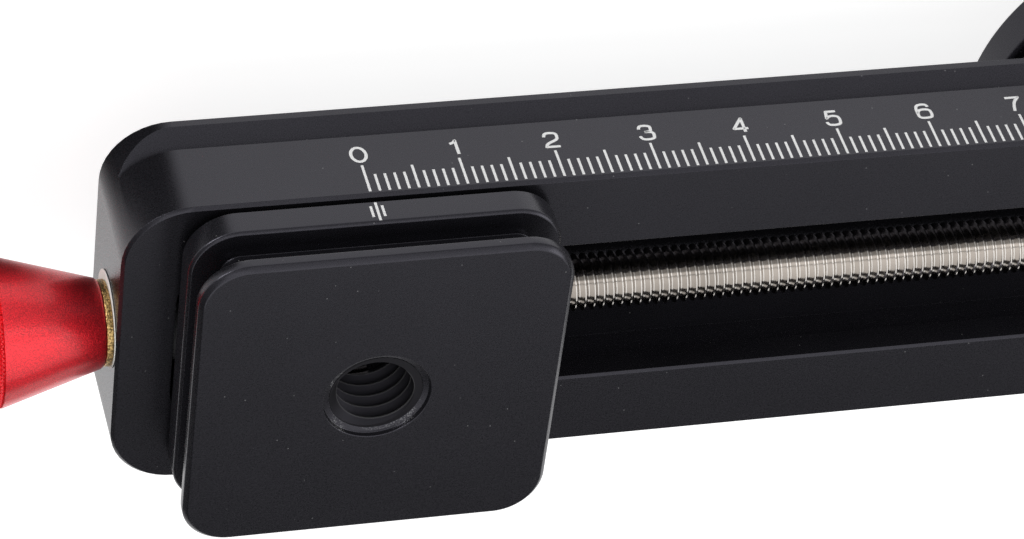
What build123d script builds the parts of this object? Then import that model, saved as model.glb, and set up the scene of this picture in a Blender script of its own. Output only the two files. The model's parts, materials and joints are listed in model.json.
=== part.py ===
from build123d import *
import math
import os

# Macro focus rail, in millimetres.
# The origin is the centre of the round base's underside, on the swivel axis.
# +X runs along the rail towards the knob, +Z is up, and the scale is on the -Y side.

# Round base and swivel
base_diameter = 42.4
base_height = 5.0
base_edge = 0.4
base_foot_edge = 0.3
hub_diameter = 16.0
hub_height = 6.3
pan_gap = 0.3
bushing_wall = 1.0
pan_washer_overhang = 2.0
pan_washer_thickness = 1.2
pan_washer_clearance = 0.5
pan_screw_diameter = 5.0
pan_screw_head_diameter = 9.0
pan_screw_head_height = 2.6
pan_screw_length = 5.0

# Camera thread, 3/8 inch with 16 turns to the inch
camera_thread_diameter = 9.525
camera_thread_sink = 0.75
tripod_thread_depth = 6.5

# Clamp under the rail
clamp_length = 34.0
clamp_boss_setback = 0.4
clamp_boss_height = 0.8
clamp_height = 10.55
clamp_back_thickness = 5.0
clamp_front_setback = 1.6
clamp_edge = 0.8
jaw_thickness = 7.4
jaw_clearance = 0.07
jaw_tip_drop = 0.45
jaw_edge = 1.2
seat_clearance = 0.05

# Clamp screw, guide pins and springs
stud_diameter = 5.0
stud_height = 5.4
stud_engagement = 5.0
stud_reach = 10.0
pin_diameter = 3.0
pin_spacing = 24.0
pin_depth = 9.0
pin_end_gap = 0.3
spring_wire = 0.6
spring_diameter = 5.0
spring_pocket_depth = 5.0
spring_turns = 4
spring_clearance = 0.2
clamp_washer_diameter = 11.0
clamp_washer_thickness = 1.0
clamp_knob_diameter = 18.0
clamp_knob_length = 13.0
clamp_knob_collar_diameter = 13.0
clamp_knob_collar_length = 2.5
clamp_knob_flutes = 12
clamp_knob_flute_radius = 1.6
clamp_knob_flute_depth = 0.7
clamp_insert_diameter = 8.0
clamp_bore_depth = 11.0

# Lock of the swivel
lock_screw_diameter = 4.0
lock_height = 3.3
lock_knob_diameter = 10.5
lock_knob_length = 9.0
lock_knob_flutes = 8
lock_knob_flute_radius = 1.2
lock_knob_flute_depth = 0.5
lock_pad_length = 2.5

# Rail
rail_length = 250.0
rail_width = 37.0
rail_height = 13.7
rail_corner = 7.0
rail_edge = 0.35
rail_knob_end = 121.7
scale_face_height = 9.0
dovetail_depth = 3.2
rail_lip_height = 1.2

# T-channel in the rail
mouth_width = 18.5
mouth_depth = 3.2
mouth_corner = 3.0
mouth_edge = 0.25
slot_width = 24.5
slot_depth = 9.2
knob_end_wall = 5.8

# Lead screw and its bearings
screw_diameter = 6.0
screw_drop = 4.56
journal_diameter = 5.0
far_journal_diameter = 4.0
collar_diameter = 8.6
collar_length = 2.8
collar_screw_diameter = 2.5
collar_screw_sink = 0.2
collar_socket_radius = 0.6
collar_socket_depth = 0.7
front_bushing_diameter = 7.5
front_flange_thickness = 0.8
far_bushing_diameter = 7.0
far_bushing_length = 7.4
ring_diameter = 7.4
ring_thickness = 0.6
ring_groove_depth = 0.4
plug_diameter = 8.6
plug_thickness = 1.0
end_block_length = 10.0
end_screw_spacing = 16.0
stop_screw_inset = 8.7
stop_web = 0.8

# Knob and the washers between it and the rail
white_washer_diameter = 10.1
white_washer_thickness = 0.1
white_washer_play = 0.65
brass_washer_diameter = 8.9
brass_washer_thickness = 0.7
knob_tip_diameter = 9.1
knob_half_angle = 16.7
knob_cone_length = 26.0
knob_rim_length = 6.0
knob_tip_edge = 0.3
knob_rim_edge = 1.0
knob_bore_depth = 14.0
knob_web = 5.0
knob_recess_diameter = 9.0
knob_cap_diameter = 16.0
knob_cap_thickness = 1.5
knob_screw_diameter = 4.0
knob_screw_length = 12.0
knob_screw_head_diameter = 7.0
knob_screw_head_height = 2.6

# Carriage
carriage_x = 96.9
carriage_length = 38.0
carriage_base_height = 3.1
carriage_edge = 0.3
carriage_gap = 1.0
neck_flat = 0.85
plate_overhang = 0.4
plate_corner = 5.1
plate_rim = 0.95
plate_edge = 0.5

# Slide block, its nut and its liners
block_length = 30.0
block_neck_clearance = 0.25
block_floor_gap = 0.4
block_bore_clearance = 0.3
liner_thickness = 1.0
liner_lap = 2.9
nut_length = 10.0
nut_width = 14.0
nut_top_wall = 1.95
nut_floor_gap = 0.3
nut_screw_diameter = 2.5
nut_screw_spacing = 9.2
nut_screw_head_diameter = 4.5
nut_screw_head_height = 1.5
nut_screw_end_gap = 0.2
carriage_screw_spacing_x = 22.0
carriage_screw_spacing_y = 12.0

# Small screws
m3_diameter = 3.0
m3_head_diameter = 5.5
m3_head_height = 3.0
m3_low_head_height = 2.0
m3_sink_depth = 1.7
m3_sunk_socket_radius = 1.15
m3_sunk_socket_depth = 1.0
m3_bite = 4.3
socket_radius_share = 0.29
socket_depth_share = 0.6

# Clearances, and how far a cutting shape reaches past what it cuts
running = 0.05
loose = 0.1
fit = 0.03
overcut = 1.0

# Heights and places that follow from the sizes above
base_radius = base_diameter / 2
hub_top = base_height + hub_height
clamp_bottom = base_height + pan_gap
clamp_block_bottom = clamp_bottom + clamp_boss_height
platform = clamp_bottom + clamp_height
rail_bottom = platform + seat_clearance
rail_top = rail_bottom + rail_height
rail_half = rail_width / 2
rail_far_end = rail_knob_end - rail_length
rail_middle = (rail_knob_end + rail_far_end) / 2
scale_face_bottom = rail_top - scale_face_height
lip_top = rail_bottom + rail_lip_height
jaw_top = scale_face_bottom - jaw_tip_drop
jaw_wall = rail_half + jaw_clearance
jaw_tip = jaw_wall - (jaw_top - lip_top)
clamp_half = clamp_length / 2
clamp_front = rail_half - clamp_front_setback
clamp_boss_radius = clamp_front - clamp_boss_setback
clamp_back = jaw_wall + clamp_back_thickness
jaw_outer = jaw_wall + jaw_thickness
stud_z = clamp_bottom + stud_height
screw_z = rail_top - screw_drop
slot_floor = rail_top - slot_depth
lip_underside = rail_top - mouth_depth
channel_end = rail_knob_end - knob_end_wall
end_block_face = rail_far_end + end_block_length
carriage_bottom = rail_top + carriage_gap
carriage_base_width = rail_width
carriage_base_corner = plate_corner
plate_width = carriage_base_width + plate_overhang
neck_bottom = carriage_bottom + carriage_base_height
flank_bottom = neck_bottom + neck_flat
rim_bottom = flank_bottom + dovetail_depth
carriage_top = rim_bottom + plate_rim + plate_edge
block_half = block_length / 2
block_neck_half = mouth_width / 2 - block_neck_clearance
liner_outer = slot_width / 2 - running
liner_inner = liner_outer - liner_thickness
liner_top = lip_underside - running
liner_bottom = slot_floor + running
knob_face = (rail_knob_end + white_washer_thickness + brass_washer_thickness
             + loose)
knob_radius = knob_tip_diameter / 2 + knob_cone_length * math.tan(math.radians(knob_half_angle))
knob_end = knob_face + knob_cone_length + knob_rim_length
knob_seat = knob_face + knob_bore_depth
lock_z = clamp_bottom + lock_height
jaw_face = -jaw_outer
clamp_washer_face = jaw_face - running - clamp_washer_thickness
clamp_knob_face = clamp_washer_face - running
end_screw_x = (rail_far_end + end_block_face) / 2
end_screw_places = (-end_screw_spacing / 2, end_screw_spacing / 2)
stop_screw_places = (rail_far_end + stop_screw_inset, rail_knob_end - stop_screw_inset)
stop_bite = rail_height - slot_depth - stop_web
front_collar_end = channel_end - front_flange_thickness - running
front_collar_start = front_collar_end - collar_length
ring_end = end_block_face - far_bushing_length - running
ring_start = ring_end - ring_thickness
carriage_screw_places = [
    (x * carriage_screw_spacing_x / 2, y * carriage_screw_spacing_y / 2)
    for x in (-1, 1) for y in (-1, 1)
]
block_bottom = slot_floor + block_floor_gap
nut_bottom = slot_floor + nut_floor_gap + block_floor_gap
nut_top = carriage_bottom - nut_top_wall - running


def block(x, y, z):
    """A box between two values on each axis."""
    size = (x[1] - x[0], y[1] - y[0], z[1] - z[0])
    middle = ((x[0] + x[1]) / 2, (y[0] + y[1]) / 2, (z[0] + z[1]) / 2)
    return Pos(*middle) * Box(*size)


def rod_x(x, radius, y=0.0, z=0.0):
    """A cylinder along X."""
    return Pos((x[0] + x[1]) / 2, y, z) * Rot(0, 90, 0) * Cylinder(radius, x[1] - x[0])


def rod_y(y, radius, x=0.0, z=0.0):
    """A cylinder along Y."""
    return Pos(x, (y[0] + y[1]) / 2, z) * Rot(90, 0, 0) * Cylinder(radius, y[1] - y[0])


def rod_z(z, radius, x=0.0, y=0.0):
    """A cylinder along Z."""
    return Pos(x, y, (z[0] + z[1]) / 2) * Cylinder(radius, z[1] - z[0])


def section_x(points, x):
    """A closed outline of (y, z) points, extruded along X."""
    outline = make_face(Polyline(*[(x[0], y, z) for y, z in points], close=True))
    return extrude(outline, amount=x[1] - x[0], dir=(1, 0, 0))


def turned_x(points, z=0.0):
    """A closed outline of (x, radius) points, turned about an axis along X."""
    outline = make_face(Polyline(*[(x, 0, radius) for x, radius in points], close=True))
    return Pos(0, 0, z) * revolve(outline, Axis.X)


def turned_y(points, z=0.0):
    """A closed outline of (y, radius) points, turned about an axis along Y."""
    outline = make_face(Polyline(*[(0, y, radius) for y, radius in points], close=True))
    return Pos(0, 0, z) * revolve(outline, Axis.Y)


def turned_z(points):
    """A closed outline of (radius, z) points, turned about the Z axis."""
    outline = make_face(Polyline(*[(radius, 0, z) for radius, z in points], close=True))
    return revolve(outline, Axis.Z)


def rounded_slab(length, width, corner, bottom, height, middle_x=0.0):
    """A plate with rounded corners in plan."""
    plan = Pos(middle_x, 0, bottom) * RectangleRounded(length, width, corner)
    return extrude(plan, amount=height)


def cap_screw(diameter, length, head_diameter, head_height):
    """A cap screw along +Z: the head's top is at zero and its shank points up."""
    head = rod_z((0, head_height), head_diameter / 2)
    shank = rod_z((head_height, head_height + length), diameter / 2)
    socket = extrude(RegularPolygon(socket_radius_share * head_diameter, 6),
                     amount=socket_depth_share * head_height)
    return head + shank - socket


def fluted_grip(points, grip, flutes, flute_radius, flute_depth):
    """A turned grip along Y with lengthwise flutes on its largest diameter."""
    body = turned_y(points)
    radius = max(point[1] for point in points)
    centre = radius + flute_radius - flute_depth
    for index in range(flutes):
        angle = 2 * math.pi * index / flutes
        body -= rod_y(grip, flute_radius, centre * math.cos(angle), centre * math.sin(angle))
    return body


def pan_base():
    """The round base with its hub and the tripod thread."""
    body = turned_z([
        (0, 0),
        (base_radius - base_foot_edge, 0),
        (base_radius, base_foot_edge),
        (base_radius, base_height - base_edge),
        (base_radius - base_edge, base_height),
        (hub_diameter / 2, base_height),
        (hub_diameter / 2, hub_top),
        (0, hub_top),
    ])
    body -= rod_z((0, tripod_thread_depth), camera_thread_diameter / 2)
    washer_top = hub_top + pan_washer_thickness
    screw_end = washer_top - pan_screw_length
    return body - rod_z((screw_end - running, hub_top), pan_screw_diameter / 2 + fit)


def pan_washer():
    """The washer on the hub that keeps the clamp down."""
    top = hub_top + pan_washer_thickness
    return (rod_z((hub_top, top), hub_diameter / 2 + pan_washer_overhang)
            - rod_z((hub_top, top), pan_screw_diameter / 2 + fit))


def pan_screw():
    """The cap screw down into the hub."""
    screw = cap_screw(pan_screw_diameter, pan_screw_length,
                      pan_screw_head_diameter, pan_screw_head_height)
    head_top = hub_top + pan_washer_thickness + pan_screw_head_height
    return Pos(0, 0, head_top) * Rot(180, 0, 0) * screw


def pan_bushing():
    """The sleeve between the hub and the clamp."""
    height = (clamp_bottom + running, hub_top - running)
    sleeve = (rod_z(height, hub_diameter / 2 + bushing_wall)
              - rod_z(height, hub_diameter / 2 + running))
    return sleeve - rod_y((0, base_diameter), lock_screw_diameter / 2 + running, 0, lock_z)


def jaw_hook(outer, bottom):
    """The (y, z) outline of a jaw with its 45 degree flank, on the +Y side."""
    return [
        (jaw_wall, bottom),
        (outer, bottom),
        (outer, jaw_top - jaw_edge),
        (outer - jaw_edge, jaw_top),
        (jaw_tip, jaw_top),
        (jaw_wall, lip_top),
    ]


def clamp_body():
    """The clamp with its platform, the fixed jaw and the bore of the swivel."""
    along = (-clamp_half, clamp_half)
    body = block(along, (-clamp_front, clamp_back), (clamp_block_bottom, platform))
    body += section_x(jaw_hook(clamp_back, clamp_block_bottom), along)
    upright = body.edges().filter_by(Axis.Z)
    body = chamfer(upright.group_by(Axis.Y)[-1], clamp_edge)
    body += rod_z((clamp_bottom, clamp_block_bottom), clamp_boss_radius)
    sleeve_radius = hub_diameter / 2 + bushing_wall + fit
    washer_radius = hub_diameter / 2 + pan_washer_overhang + pan_washer_clearance
    body -= rod_z((clamp_bottom, platform), sleeve_radius)
    body -= rod_z((hub_top - running, platform), washer_radius)
    for side in (-1, 1):
        x = side * pin_spacing / 2
        body -= rod_y((-clamp_front, pin_depth - clamp_front), pin_diameter / 2 + fit, x, stud_z)
        body -= rod_y((-clamp_front, spring_pocket_depth - clamp_front),
                      spring_diameter / 2 + spring_clearance, x, stud_z)
    body -= rod_y((-clamp_front, stud_engagement - clamp_front + running),
                  stud_diameter / 2 + fit, 0, stud_z)
    return body - rod_y((0, clamp_back), lock_screw_diameter / 2 + running, 0, lock_z)


def movable_jaw():
    """The jaw on the scale side, on two guide pins and the clamp's stud."""
    hook = [(-y, z) for y, z in jaw_hook(jaw_outer, clamp_block_bottom)]
    body = section_x(hook, (-clamp_half, clamp_half))
    upright = body.edges().filter_by(Axis.Z)
    body = chamfer(upright.group_by(Axis.Y)[0], clamp_edge)
    for side in (-1, 1):
        body -= rod_y((jaw_face, 0), pin_diameter / 2 + running, side * pin_spacing / 2, stud_z)
    return body - rod_y((jaw_face, 0), stud_diameter / 2 + loose, 0, stud_z)


def jaw_guide_pins():
    """The two steel pins, pressed into the clamp."""
    along = (jaw_face + pin_end_gap, pin_depth - clamp_front)
    return [rod_y(along, pin_diameter / 2, side * pin_spacing / 2, stud_z) for side in (-1, 1)]


def jaw_springs():
    """The two springs round the guide pins that push the jaw open."""
    start = spring_pocket_depth - clamp_front - running
    length = start + jaw_wall - running - spring_wire
    pitch = length / spring_turns
    coil_radius = (spring_diameter - spring_wire) / 2
    path = Helix(pitch, length, coil_radius)
    wire = Plane(origin=path @ 0, z_dir=path % 0) * Circle(spring_wire / 2)
    coil = sweep(wire, path=path)
    top = start - spring_wire / 2
    return [Pos(side * pin_spacing / 2, top, stud_z) * Rot(90, 0, 0) * coil for side in (-1, 1)]


def clamp_stud():
    """The stud that the clamp's knob runs on."""
    inner = stud_engagement - clamp_front
    return rod_y((clamp_knob_face - stud_reach, inner), stud_diameter / 2, 0, stud_z)


def clamp_washer():
    """The steel washer between the jaw and the clamp's knob."""
    along = (clamp_washer_face, clamp_washer_face + clamp_washer_thickness)
    return (rod_y(along, clamp_washer_diameter / 2, 0, stud_z)
            - rod_y(along, stud_diameter / 2 + loose, 0, stud_z))


def clamp_knob():
    """The fluted knob of the clamp."""
    end = clamp_knob_face - clamp_knob_length
    grip_start = clamp_knob_face - clamp_knob_collar_length
    radius = clamp_knob_diameter / 2
    grip = fluted_grip([
        (clamp_knob_face, 0),
        (clamp_knob_face, clamp_knob_collar_diameter / 2),
        (grip_start, clamp_knob_collar_diameter / 2),
        (grip_start, radius - knob_rim_edge),
        (grip_start - knob_rim_edge, radius),
        (end + knob_rim_edge, radius),
        (end, radius - knob_rim_edge),
        (end, 0),
    ], (end, grip_start), clamp_knob_flutes, clamp_knob_flute_radius, clamp_knob_flute_depth)
    hole = rod_y((clamp_knob_face - clamp_bore_depth, clamp_knob_face),
                 clamp_insert_diameter / 2 + fit)
    return Pos(0, 0, stud_z) * (grip - hole)


def clamp_knob_insert():
    """The brass threaded insert in the clamp's knob."""
    along = (clamp_knob_face - clamp_bore_depth, clamp_knob_face)
    return (rod_y(along, clamp_insert_diameter / 2, 0, stud_z)
            - rod_y(along, stud_diameter / 2 + running, 0, stud_z))


def pan_lock_pad():
    """The brass pad that presses on the hub."""
    inner = hub_diameter / 2 + running
    return rod_y((inner, inner + lock_pad_length), lock_screw_diameter / 2, 0, lock_z)


def pan_lock_knob():
    """The small knob that locks the swivel, with its screw."""
    face = clamp_back + pan_gap
    end = face + lock_knob_length
    radius = lock_knob_diameter / 2
    edge = base_edge
    grip = fluted_grip([
        (face, 0),
        (face, radius - edge),
        (face + edge, radius),
        (end - edge, radius),
        (end, radius - edge),
        (end, 0),
    ], (face, end), lock_knob_flutes, lock_knob_flute_radius, lock_knob_flute_depth)
    screw_start = hub_diameter / 2 + lock_pad_length + loose
    screw = rod_y((screw_start, face + edge), lock_screw_diameter / 2)
    return Pos(0, 0, lock_z) * (grip + screw)


def rail_body():
    """The rail: a rounded slab with side dovetails and a T-channel open at the far end."""
    body = rounded_slab(rail_length, rail_width, rail_corner, rail_bottom, rail_height, rail_middle)
    flat = body.faces().filter_by(Axis.Z)
    body = chamfer([edge for face in flat for edge in face.edges()], rail_edge)
    along = (rail_far_end - overcut, rail_knob_end + overcut)
    neck = rail_half - dovetail_depth
    outside = rail_half + overcut
    for side in (-1, 1):
        groove = [
            (side * neck, scale_face_bottom),
            (side * neck, lip_top + dovetail_depth),
            (side * outside, lip_top - overcut),
            (side * outside, scale_face_bottom),
        ]
        body -= section_x(groove, along)
    mouth_half = mouth_width / 2
    inside = (rail_far_end - overcut, channel_end)
    mouth = block(inside, (-mouth_half, mouth_half), (lip_underside - overcut, rail_top + overcut))
    body -= fillet(mouth.edges().filter_by(Axis.Z).group_by(Axis.X)[-1], mouth_corner)
    body -= block(inside, (-slot_width / 2, slot_width / 2), (slot_floor, lip_underside))
    for side in (-1, 1):
        edge_cut = [
            (side * (mouth_half - overcut), rail_top + overcut),
            (side * (mouth_half - overcut), rail_top - mouth_edge - overcut),
            (side * (mouth_half + mouth_edge + overcut), rail_top + overcut),
        ]
        body -= section_x(edge_cut, (rail_far_end - overcut, channel_end - mouth_corner))
    body -= rod_x((channel_end - overcut, rail_knob_end + overcut),
                  front_bushing_diameter / 2 + fit, 0, screw_z)
    for y in end_screw_places:
        body -= rod_z((rail_bottom - overcut, slot_floor + overcut),
                      m3_diameter / 2 + fit, end_screw_x, y)
        sink = Cone(m3_head_diameter / 2 + fit, m3_diameter / 2 + fit, m3_sink_depth)
        body -= Pos(end_screw_x, y, rail_bottom + m3_sink_depth / 2) * sink
    for x in stop_screw_places:
        body -= rod_z((rail_bottom - overcut, rail_bottom + stop_bite + running),
                      m3_diameter / 2 + fit, x)
    return body


def end_block():
    """The block that closes the channel's far end and holds the far bearing."""
    along = (rail_far_end, end_block_face)
    neck = mouth_width / 2 - fit
    flange = slot_width / 2 - fit
    body = block(along, (-neck, neck), (slot_floor, rail_top))
    body += block(along, (-flange, flange), (slot_floor, lip_underside - fit))
    outline = rounded_slab(rail_length, rail_width, rail_corner, rail_bottom, rail_height, rail_middle)
    body &= outline
    outer = (rail_far_end - overcut, end_block_face - far_bushing_length)
    body -= rod_x(outer, plug_diameter / 2 + fit, 0, screw_z)
    body -= rod_x(along, far_bushing_diameter / 2 + fit, 0, screw_z)
    for y in end_screw_places:
        body -= rod_z((slot_floor - overcut, slot_floor + m3_bite + running),
                      m3_diameter / 2 + fit, end_screw_x, y)
    return body


def end_block_screws():
    """The two countersunk screws under the far end."""
    screws = []
    for y in end_screw_places:
        head = Cone(m3_head_diameter / 2, m3_diameter / 2, m3_sink_depth)
        screw = Pos(0, 0, rail_bottom + m3_sink_depth / 2) * head
        screw += rod_z((rail_bottom + m3_sink_depth, slot_floor + m3_bite), m3_diameter / 2)
        socket = extrude(Pos(0, 0, rail_bottom) * RegularPolygon(m3_sunk_socket_radius, 6),
                         amount=m3_sunk_socket_depth)
        screws.append(Pos(end_screw_x, y, 0) * (screw - socket))
    return screws


def stop_screws():
    """The two safety screws under the rail's ends."""
    screw = cap_screw(m3_diameter, stop_bite, m3_head_diameter, m3_low_head_height)
    bottom = rail_bottom - m3_low_head_height
    return [Pos(x, 0, bottom) * screw for x in stop_screw_places]


def lead_screw():
    """The lead screw with a journal at each end."""
    thread_start = front_collar_start
    far = end_block_face + running
    groove_start = ring_start - running
    tip = groove_start - ring_thickness
    ring_root = far_journal_diameter / 2 - ring_groove_depth
    body = turned_x([
        (tip, 0),
        (tip, far_journal_diameter / 2),
        (groove_start, far_journal_diameter / 2),
        (groove_start, ring_root),
        (ring_end, ring_root),
        (ring_end, far_journal_diameter / 2),
        (far, far_journal_diameter / 2),
        (far, screw_diameter / 2),
        (thread_start, screw_diameter / 2),
        (thread_start, journal_diameter / 2),
        (knob_seat, journal_diameter / 2),
        (knob_seat, 0),
    ], screw_z)
    hole_start = knob_seat + knob_web - knob_screw_length - running
    return body - rod_x((hole_start, knob_seat), knob_screw_diameter / 2 + fit, 0, screw_z)


def thrust_collar():
    """The collar inside the channel that takes the screw's pull."""
    along = (front_collar_start, front_collar_end)
    body = (rod_x(along, collar_diameter / 2, 0, screw_z)
            - rod_x(along, journal_diameter / 2 + fit, 0, screw_z))
    middle = (front_collar_start + front_collar_end) / 2
    return body - rod_z((screw_z, screw_z + collar_diameter), collar_screw_diameter / 2 + fit, middle)


def collar_set_screw():
    """The set screw of the collar."""
    middle = (front_collar_start + front_collar_end) / 2
    inner = screw_z + journal_diameter / 2 + running
    outer = screw_z + collar_diameter / 2 - collar_screw_sink
    socket = extrude(RegularPolygon(collar_socket_radius, 6), amount=-collar_socket_depth)
    return rod_z((inner, outer), collar_screw_diameter / 2, middle) - Pos(middle, 0, outer) * socket


def front_bushing():
    """The flanged bearing in the wall at the knob's end."""
    body = rod_x((channel_end, rail_knob_end), front_bushing_diameter / 2, 0, screw_z)
    body += rod_x((channel_end - front_flange_thickness, channel_end), collar_diameter / 2, 0, screw_z)
    along = (channel_end - front_flange_thickness, rail_knob_end)
    return body - rod_x(along, journal_diameter / 2 + running, 0, screw_z)


def far_bushing():
    """The plain bearing in the end block."""
    along = (end_block_face - far_bushing_length, end_block_face)
    return (rod_x(along, far_bushing_diameter / 2, 0, screw_z)
            - rod_x(along, far_journal_diameter / 2 + running, 0, screw_z))


def retaining_ring():
    """The open ring in the groove at the screw's far end."""
    along = (ring_start, ring_end)
    root = far_journal_diameter / 2 - ring_groove_depth + fit
    ring = (rod_x(along, ring_diameter / 2, 0, screw_z)
            - rod_x(along, root, 0, screw_z))
    return ring - block(along, (-root, root), (screw_z - ring_diameter, screw_z))


def end_plug():
    """The plug over the far bearing."""
    return rod_x((rail_far_end, rail_far_end + plug_thickness), plug_diameter / 2, 0, screw_z)


def white_washer():
    """The thin low-friction washer that hangs on the journal, against the rail."""
    along = (rail_knob_end + running, rail_knob_end + running + white_washer_thickness)
    centre = screw_z - white_washer_play + fit
    return (rod_x(along, white_washer_diameter / 2, 0, centre)
            - rod_x(along, journal_diameter / 2 + white_washer_play, 0, centre))


def brass_washer():
    """The brass washer against the knob's tip."""
    along = (knob_face - brass_washer_thickness, knob_face)
    return (rod_x(along, brass_washer_diameter / 2, 0, screw_z)
            - rod_x(along, journal_diameter / 2 + fit, 0, screw_z))


def focus_knob():
    """The conical knob with its bore and the recess for its screw."""
    tip = knob_tip_diameter / 2
    body = turned_x([
        (knob_face, 0),
        (knob_face, tip - knob_tip_edge),
        (knob_face + knob_tip_edge, tip),
        (knob_face + knob_cone_length, knob_radius),
        (knob_end - knob_rim_edge, knob_radius),
        (knob_end, knob_radius - knob_rim_edge),
        (knob_end, 0),
    ], screw_z)
    body -= rod_x((knob_face, knob_seat), journal_diameter / 2 + fit, 0, screw_z)
    body -= rod_x((knob_seat, knob_end), knob_screw_diameter / 2 + running, 0, screw_z)
    body -= rod_x((knob_seat + knob_web, knob_end), knob_recess_diameter / 2, 0, screw_z)
    return body - rod_x((knob_end - knob_cap_thickness, knob_end),
                        knob_cap_diameter / 2 + fit, 0, screw_z)


def knob_screw():
    """The screw that holds the knob on the lead screw."""
    screw = cap_screw(knob_screw_diameter, knob_screw_length,
                      knob_screw_head_diameter, knob_screw_head_height)
    head_top = knob_seat + knob_web + knob_screw_head_height
    return Pos(head_top, 0, screw_z) * Rot(0, -90, 0) * screw


def knob_cap():
    """The disc in the knob's end."""
    along = (knob_end - knob_cap_thickness, knob_end)
    disc = rod_x(along, knob_cap_diameter / 2, 0, screw_z)
    return chamfer(disc.edges().sort_by(Axis.X)[-1], knob_tip_edge)


def camera_hole(bottom, top):
    """The threaded hole of the carriage with its countersunk mouth."""
    radius = camera_thread_diameter / 2
    return turned_z([
        (0, bottom),
        (radius, bottom),
        (radius, top - camera_thread_sink),
        (radius + camera_thread_sink, top),
        (0, top),
    ])


def carriage_plate():
    """The carriage: its base, the dovetail neck and the square plate, in one piece."""
    base = rounded_slab(carriage_length, carriage_base_width, carriage_base_corner,
                        carriage_bottom, carriage_base_height)
    upper = base.faces().sort_by(Axis.Z)[-1]
    base = chamfer(upper.edges(), carriage_edge)
    neck_length = carriage_length - 2 * dovetail_depth
    neck_width = plate_width - 2 * dovetail_depth
    neck_corner = plate_corner - dovetail_depth
    neck = rounded_slab(neck_length, neck_width, neck_corner, neck_bottom, neck_flat)
    plan = Pos(0, 0, flank_bottom) * RectangleRounded(neck_length, neck_width, neck_corner)
    flank = extrude(plan, amount=dovetail_depth, taper=-45)
    rim = rounded_slab(carriage_length, plate_width, plate_corner, rim_bottom,
                       carriage_top - rim_bottom)
    rim = chamfer(rim.faces().sort_by(Axis.Z)[-1].edges(), plate_edge)
    body = base + neck + flank + rim - camera_hole(carriage_bottom, carriage_top)
    for x, y in carriage_screw_places:
        body -= rod_z((carriage_bottom, carriage_bottom + m3_bite + running),
                      m3_diameter / 2 + fit, x, y)
    return Pos(carriage_x, 0, 0) * body


def slide_block():
    """The T-shaped block that runs in the channel and holds the nut."""
    along = (-block_half, block_half)
    body = block(along, (-block_neck_half, block_neck_half), (block_bottom, carriage_bottom))
    flange = (liner_bottom + liner_thickness, liner_top - liner_thickness)
    body += block(along, (-liner_inner + fit, liner_inner - fit), flange)
    body -= rod_x(along, screw_diameter / 2 + block_bore_clearance, 0, screw_z)
    pocket_x = nut_length / 2 + fit
    pocket_y = nut_width / 2 + fit
    body -= block((-pocket_x, pocket_x), (-pocket_y, pocket_y),
                  (block_bottom, nut_top + running))
    for side in (-1, 1):
        body -= rod_z((nut_top, carriage_bottom), nut_screw_diameter / 2 + fit,
                      0, side * nut_screw_spacing / 2)
    for x, y in carriage_screw_places:
        body -= rod_z((block_bottom, carriage_bottom), m3_diameter / 2 + fit, x, y)
        body -= rod_z((block_bottom, block_bottom + m3_head_height + loose),
                      m3_head_diameter / 2 + running, x, y)
    return Pos(carriage_x, 0, 0) * body


def slide_liners():
    """The two C-shaped low-friction strips on the block's flanges."""
    liners = []
    for side in (-1, 1):
        start = liner_outer - liner_lap
        outline = [
            (start, liner_bottom),
            (liner_outer, liner_bottom),
            (liner_outer, liner_top),
            (start, liner_top),
            (start, liner_top - liner_thickness + fit),
            (liner_inner, liner_top - liner_thickness + fit),
            (liner_inner, liner_bottom + liner_thickness - fit),
            (start, liner_bottom + liner_thickness - fit),
        ]
        points = [(side * y, z) for y, z in outline]
        along = (carriage_x - block_half, carriage_x + block_half)
        liners.append(section_x(points, along))
    return liners


def drive_nut():
    """The brass nut on the lead screw."""
    half_x = nut_length / 2
    half_y = nut_width / 2
    body = block((-half_x, half_x), (-half_y, half_y), (nut_bottom, nut_top))
    body -= rod_x((-half_x, half_x), screw_diameter / 2 + running, 0, screw_z)
    head_top = nut_bottom + nut_screw_head_height + running
    for side in (-1, 1):
        y = side * nut_screw_spacing / 2
        body -= rod_z((nut_bottom, nut_top), nut_screw_diameter / 2 + fit, 0, y)
        body -= rod_z((nut_bottom, head_top), nut_screw_head_diameter / 2 + fit, 0, y)
    return Pos(carriage_x, 0, 0) * body


def nut_screws():
    """The two screws that hold the nut in the block."""
    length = carriage_bottom - nut_bottom - nut_screw_head_height - nut_screw_end_gap
    screw = cap_screw(nut_screw_diameter, length, nut_screw_head_diameter, nut_screw_head_height)
    return [Pos(carriage_x, side * nut_screw_spacing / 2, nut_bottom) * screw for side in (-1, 1)]


def carriage_screws():
    """The four screws from the block up into the carriage."""
    bottom = block_bottom + running
    length = carriage_bottom + m3_bite - bottom - m3_head_height
    screw = cap_screw(m3_diameter, length, m3_head_diameter, m3_head_height)
    return [Pos(carriage_x + x, y, bottom) * screw for x, y in carriage_screw_places]


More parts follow.
